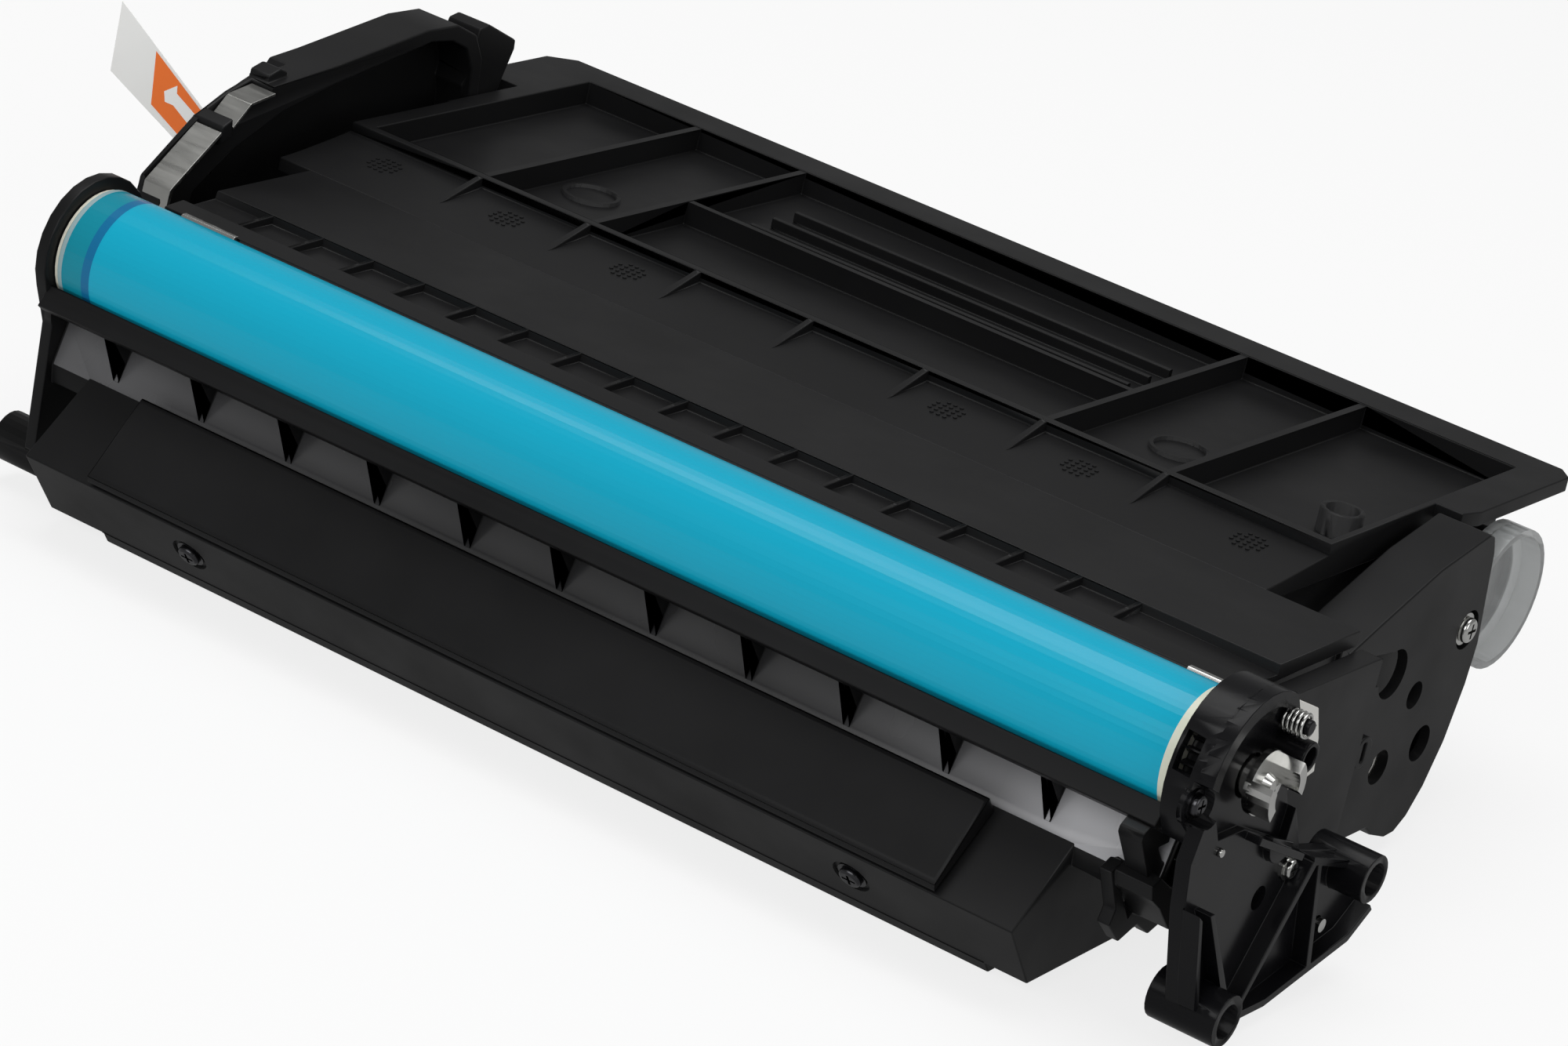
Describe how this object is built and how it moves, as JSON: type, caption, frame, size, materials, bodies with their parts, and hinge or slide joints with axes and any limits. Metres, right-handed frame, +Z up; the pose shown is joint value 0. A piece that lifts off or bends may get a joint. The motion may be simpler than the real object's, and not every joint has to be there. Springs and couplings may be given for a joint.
{
  "type": "toner cartridge",
  "caption": "Laser printer toner cartridge: a drum unit with its waste bin, hinged to a developer unit with its toner hopper, gears and pull tab.",
  "frame": {"origin": "middle of the drum's length, on the flat underside of the hopper that the cartridge rests on", "axes": "+X along the drum to its coupling end, +Y from the drum to the back of the hopper, +Z up from the underside"},
  "size_m": [0.3121, 0.1877, 0.0794],
  "materials": {
    "body_plastic": "fine satin mould finish",
    "gloss_plastic": "smooth, glossy",
    "drum_coating": "polished blue coating",
    "cream_plastic": "smooth",
    "bright_steel": "bright turned metal",
    "sheet_steel": "rolled sheet, satin",
    "roller_sleeve": "dark blasted sleeve",
    "roller_rubber": "matt",
    "blade_urethane": "smooth",
    "gear_plastic": "natural acetal",
    "tab_film": "smooth film with one colour field",
    "cap_plastic": "translucent, smooth"
  },
  "bodies": {
    "developer_unit": {"hopper_tub": "body_plastic", "hopper_lid": "body_plastic", "developer_frame": "body_plastic", "bearing_plate_right": "body_plastic", "doctor_blade_bracket": "sheet_steel", "doctor_blade": "blade_urethane", "gear_cover": "body_plastic", "gear_cover_screw": "bright_steel", "left_cover": "body_plastic", "contact_plate_front": "sheet_steel", "contact_plate_rear": "sheet_steel", "fill_cap": "cap_plastic", "seal_tab": "tab_film", "magnet_core": "sheet_steel", "hinge_pin_left": "bright_steel", "hinge_pin_right": "bright_steel"},
    "drum_unit": {"drum_frame": "body_plastic", "bin_cover": "body_plastic", "drum_end_plate": "gloss_plastic", "drum_shaft_left": "bright_steel", "charge_bearing_left": "gear_plastic", "charge_bearing_right": "gear_plastic", "blade_bracket": "sheet_steel", "cleaning_blade": "blade_urethane"},
    "drum": {"opc_drum": "drum_coating", "drum_hub_left": "cream_plastic", "drum_flange_right": "cream_plastic", "drum_gear": "gloss_plastic", "drum_coupling": "bright_steel"},
    "charging": {"charge_roller": "roller_rubber", "charge_shaft": "bright_steel"},
    "developer_roller": {"developer_sleeve": "roller_sleeve", "developer_shaft_left": "sheet_steel", "developer_shaft_right": "sheet_steel", "developer_roller_gear": "gear_plastic", "developer_drive_gear": "gear_plastic"},
    "idler_1": {"idler_gear_1": "gear_plastic"},
    "idler_2": {"idler_gear_2": "gear_plastic"},
    "idler_3": {"idler_gear_3": "gear_plastic"},
    "agitator": {"agitator_shaft": "body_plastic", "agitator_gear": "gear_plastic", "agitator_film": "tab_film"}
  },
  "joints": [
    {"name": "unit_pivot", "type": "hinge", "parent": "developer_unit", "child": "drum_unit", "pos_m": [0, -0.0463, 0.0126], "axis": [1, 0, 0], "range_deg": [0, 0.3]},
    {"name": "drum_spin", "type": "hinge", "parent": "drum_unit", "child": "drum", "pos_m": [0, -0.085, 0.0504], "axis": [1, 0, 0], "continuous": true},
    {"name": "charge_spin", "type": "hinge", "parent": "drum_unit", "child": "charging", "pos_m": [0, -0.07939, 0.03499], "axis": [1, 0, 0], "continuous": true},
    {"name": "roller_spin", "type": "hinge", "parent": "developer_unit", "child": "developer_roller", "pos_m": [0, -0.06804, 0.0414], "axis": [1, 0, 0], "continuous": true},
    {"name": "idler_1_spin", "type": "hinge", "parent": "developer_unit", "child": "idler_1", "pos_m": [0, -0.05222, 0.03707], "axis": [1, 0, 0], "continuous": true},
    {"name": "idler_2_spin", "type": "hinge", "parent": "developer_unit", "child": "idler_2", "pos_m": [0, -0.03139, 0.03136], "axis": [1, 0, 0], "continuous": true},
    {"name": "idler_3_spin", "type": "hinge", "parent": "developer_unit", "child": "idler_3", "pos_m": [0, -0.01019, 0.02722], "axis": [1, 0, 0], "continuous": true},
    {"name": "agitator_spin", "type": "hinge", "parent": "developer_unit", "child": "agitator", "pos_m": [0, 0.009, 0.0203], "axis": [1, 0, 0], "continuous": true}
  ],
  "couplings": [
    {"joint": "charge_spin", "follows": "drum_spin", "ratio": -2.9268},
    {"joint": "roller_spin", "follows": "drum_spin", "ratio": -1.6667},
    {"joint": "idler_1_spin", "follows": "drum_spin", "ratio": 0.8642},
    {"joint": "idler_2_spin", "follows": "drum_spin", "ratio": -0.8642},
    {"joint": "idler_3_spin", "follows": "drum_spin", "ratio": 0.8642},
    {"joint": "agitator_spin", "follows": "drum_spin", "ratio": -0.97222}
  ]
}
